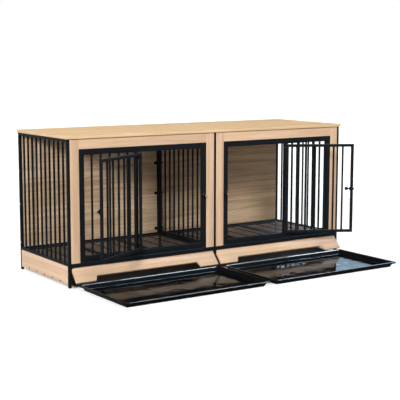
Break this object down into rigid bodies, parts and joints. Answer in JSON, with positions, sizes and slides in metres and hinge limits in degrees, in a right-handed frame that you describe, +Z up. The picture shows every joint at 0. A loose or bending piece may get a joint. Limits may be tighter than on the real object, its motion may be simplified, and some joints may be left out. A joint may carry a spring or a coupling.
{
  "type": "double dog crate",
  "caption": "Two-room dog crate of black steel bars and oak-pattern boards, with a door, a slide-out tray and a tilting kick board for each room and a removable divider between them.",
  "frame": {"origin": "on the floor, at the middle of the underside of the front centre foot", "axes": "+X to the right along the front, +Y to the back, +Z up; the doors open towards -Y"},
  "size_m": [1.814, 1.122, 0.775],
  "materials": {
    "oak_board": "satin oak-pattern board",
    "back_board": "satin oak-pattern board",
    "black_steel": "fine matt powder coat",
    "black_plastic": "smooth moulded gloss",
    "foot_plastic": "matt moulded",
    "bright_steel": "plain zinc plate"
  },
  "bodies": {
    "crate": {"back_panel_left": "back_board", "back_panel_right": "back_board", "centre_rails": "black_steel", "divider": "black_steel", "divider_anchor": "black_steel", "divider_knob_screws": "black_steel", "divider_nuts": "black_steel", "door_frame_left": "black_steel", "door_frame_right": "black_steel", "feet": "foot_plastic", "floor_grille_left": "black_steel", "floor_grille_right": "black_steel", "front_head_board_left": "oak_board", "front_head_board_right": "oak_board", "front_lower_rails": "black_steel", "front_stile_left_inner": "oak_board", "front_stile_left_outer": "oak_board", "front_stile_right_inner": "oak_board", "front_stile_right_outer": "oak_board", "front_upper_strips": "black_steel", "hinge_brackets_left": "black_steel", "hinge_brackets_right": "black_steel", "hinge_pins_left": "bright_steel", "hinge_pins_right": "bright_steel", "keeper_plate_left": "black_steel", "keeper_plate_right": "black_steel", "keeper_staple_left": "black_steel", "keeper_staple_right": "black_steel", "kick_catches": "black_steel", "kick_hinge_plates_left": "black_steel", "kick_hinge_plates_right": "black_steel", "post_bolts": "bright_steel", "post_front_centre": "black_steel", "post_front_left": "black_steel", "post_front_right": "black_steel", "post_rear_centre": "black_steel", "post_rear_left": "black_steel", "post_rear_right": "black_steel", "rear_lower_rails": "black_steel", "rear_skirt_left": "oak_board", "rear_skirt_right": "oak_board", "rear_upper_rails": "black_steel", "side_grille_left": "black_steel", "side_grille_right": "black_steel", "side_skirt_left": "oak_board", "side_skirt_right": "oak_board", "skirt_screws": "black_steel", "top_board": "oak_board"},
    "door_left": {"door_left": "black_steel", "bolt_housing_left": "black_steel"},
    "bolt_left": {"door_bolt_left": "black_steel"},
    "tray_left": {"tray_left": "black_plastic"},
    "kick_left": {"kick_board_left": "oak_board", "kick_pins_left": "bright_steel"},
    "door_right": {"door_right": "black_steel", "bolt_housing_right": "black_steel"},
    "bolt_right": {"door_bolt_right": "black_steel"},
    "tray_right": {"tray_right": "black_plastic"},
    "kick_right": {"kick_board_right": "oak_board", "kick_pins_right": "bright_steel"}
  },
  "joints": [
    {"name": "door_left_hinge", "type": "hinge", "parent": "crate", "child": "door_left", "pos_m": [-0.4875, -0.0135, 0.41475], "axis": [0, 0, 1], "range_deg": [-19, 151]},
    {"name": "bolt_left_slide", "type": "slide", "parent": "door_left", "child": "bolt_left", "axis": [-0.8746, -0.4848, 0], "range_m": [0, 0.014]},
    {"name": "tray_left_slide", "type": "slide", "parent": "crate", "child": "tray_left", "axis": [0, 1, 0], "range_m": [0, 0.56]},
    {"name": "kick_left_hinge", "type": "hinge", "parent": "crate", "child": "kick_left", "pos_m": [-0.44625, -0.0005, 0.093], "axis": [1, 0, 0], "range_deg": [-38, 42]},
    {"name": "door_right_hinge", "type": "hinge", "parent": "crate", "child": "door_right", "pos_m": [0.4875, -0.0135, 0.41475], "axis": [0, 0, -1], "range_deg": [-19, 151]},
    {"name": "bolt_right_slide", "type": "slide", "parent": "door_right", "child": "bolt_right", "axis": [0.8746, -0.4848, 0], "range_m": [0, 0.014]},
    {"name": "tray_right_slide", "type": "slide", "parent": "crate", "child": "tray_right", "axis": [0, 1, 0], "range_m": [0, 0.56]},
    {"name": "kick_right_hinge", "type": "hinge", "parent": "crate", "child": "kick_right", "pos_m": [0.44625, -0.0005, 0.093], "axis": [1, 0, 0], "range_deg": [-38, 42]}
  ]
}
